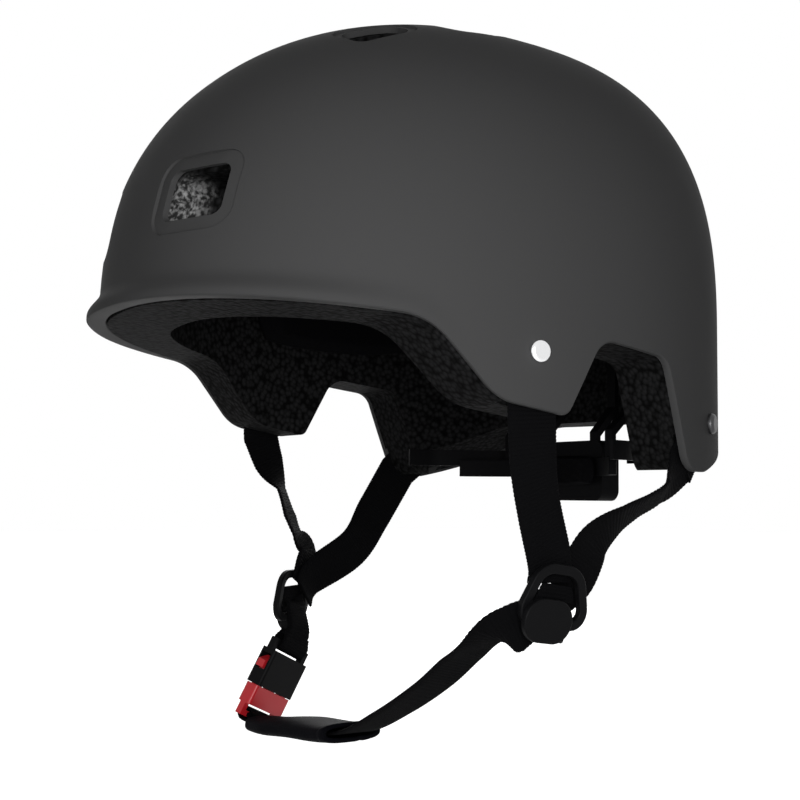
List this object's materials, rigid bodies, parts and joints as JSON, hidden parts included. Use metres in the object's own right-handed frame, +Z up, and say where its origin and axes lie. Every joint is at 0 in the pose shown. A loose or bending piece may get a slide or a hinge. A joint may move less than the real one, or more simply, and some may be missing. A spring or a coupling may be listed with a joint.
{
  "type": "skateboard helmet",
  "caption": "Deep-domed skateboard helmet with foam liner, comfort pads, webbing straps with dividers, side-release buckle, padded chin sleeve and a dial-fit cradle behind the head.",
  "frame": {"origin": "middle of the crown pad's underside, where the top of the head rests", "axes": "-Y is the way the face looks, +X the wearer's left, +Z up"},
  "size_m": [0.2262, 0.2718, 0.3116],
  "materials": {
    "shell": "satin black, smooth moulded",
    "foam": "fine beaded foam, dark grey where coated",
    "rivet_silver": "polished domed heads",
    "rivet_dark": "blackened",
    "pad_cloth": "brushed knit cloth",
    "pad_dots": "hook-and-loop",
    "webbing": "ribbed woven polyester",
    "sleeve": "smooth stitched cloth",
    "black_plastic": "moulded, satin",
    "red_plastic": "moulded, satin",
    "cradle_plastic": "moulded, matt",
    "screw_steel": "plain",
    "pinion_plastic": "natural, uncoloured"
  },
  "bodies": {
    "root": {"outer_shell": "shell", "foam_liner": "foam", "front_rivets": "rivet_silver", "rear_rivets": "rivet_dark", "rivet_washers": "rivet_dark", "brow_pad": "pad_cloth", "left_side_pad": "pad_cloth", "right_side_pad": "pad_cloth", "rear_pad": "pad_cloth", "crown_pad": "pad_cloth", "pad_dots": "pad_dots", "left_front_strap": "webbing", "right_front_strap": "webbing", "left_rear_strap": "webbing", "right_rear_strap": "webbing", "chin_strap": "webbing", "right_short_strap": "webbing", "chin_sleeve": "sleeve", "left_divider": "black_plastic", "right_divider": "black_plastic", "buckle_socket": "black_plastic", "buckle_plug": "red_plastic", "cradle_frame": "cradle_plastic", "dial_cover": "cradle_plastic", "cover_screws": "screw_steel", "nape_pad": "pad_cloth"},
    "left_cam": {"left_cam_flap": "black_plastic"},
    "right_cam": {"right_cam_flap": "black_plastic"},
    "rear_prong_body": {"rear_prong": "red_plastic"},
    "front_prong_body": {"front_prong": "red_plastic"},
    "dial": {"dial_knob": "black_plastic", "dial_pinion": "pinion_plastic"},
    "left_rack": {"left_rack_arm": "cradle_plastic"},
    "right_rack": {"right_rack_arm": "cradle_plastic"}
  },
  "joints": [
    {"name": "left_cam_hinge", "type": "hinge", "parent": "root", "child": "left_cam", "pos_m": [0.09462, -0.00247, -0.21267], "axis": [-0.0218, 0.9903, -0.1375], "range_deg": [0, 80]},
    {"name": "right_cam_hinge", "type": "hinge", "parent": "root", "child": "right_cam", "pos_m": [-0.08724, -0.01034, -0.2252], "axis": [0.5592, -0.829, 0], "range_deg": [0, 80]},
    {"name": "rear_prong_hinge", "type": "hinge", "parent": "root", "child": "rear_prong_body", "pos_m": [-0.08689, -0.01776, -0.26165], "axis": [0.92, 0.31, -0.24], "range_deg": [0, 13], "stiffness_Nm_per_rad": 0.5},
    {"name": "front_prong_hinge", "type": "hinge", "parent": "root", "child": "front_prong_body", "pos_m": [-0.07953, -0.03389, -0.25428], "axis": [-0.92, -0.31, 0.24], "range_deg": [0, 13], "stiffness_Nm_per_rad": 0.5},
    {"name": "dial_turn", "type": "hinge", "parent": "root", "child": "dial", "pos_m": [0, 0.1, -0.1487], "axis": [0, -1, 0], "range_deg": [0, 90]},
    {"name": "left_rack_slide", "type": "slide", "parent": "root", "child": "left_rack", "axis": [-1, 0, 0], "range_m": [0, 0.0095]},
    {"name": "right_rack_slide", "type": "slide", "parent": "root", "child": "right_rack", "axis": [1, 0, 0], "range_m": [0, 0.0095]}
  ],
  "couplings": [
    {"joint": "left_rack_slide", "follows": "dial_turn", "m_per_rad": 0.006},
    {"joint": "right_rack_slide", "follows": "dial_turn", "m_per_rad": 0.006}
  ]
}
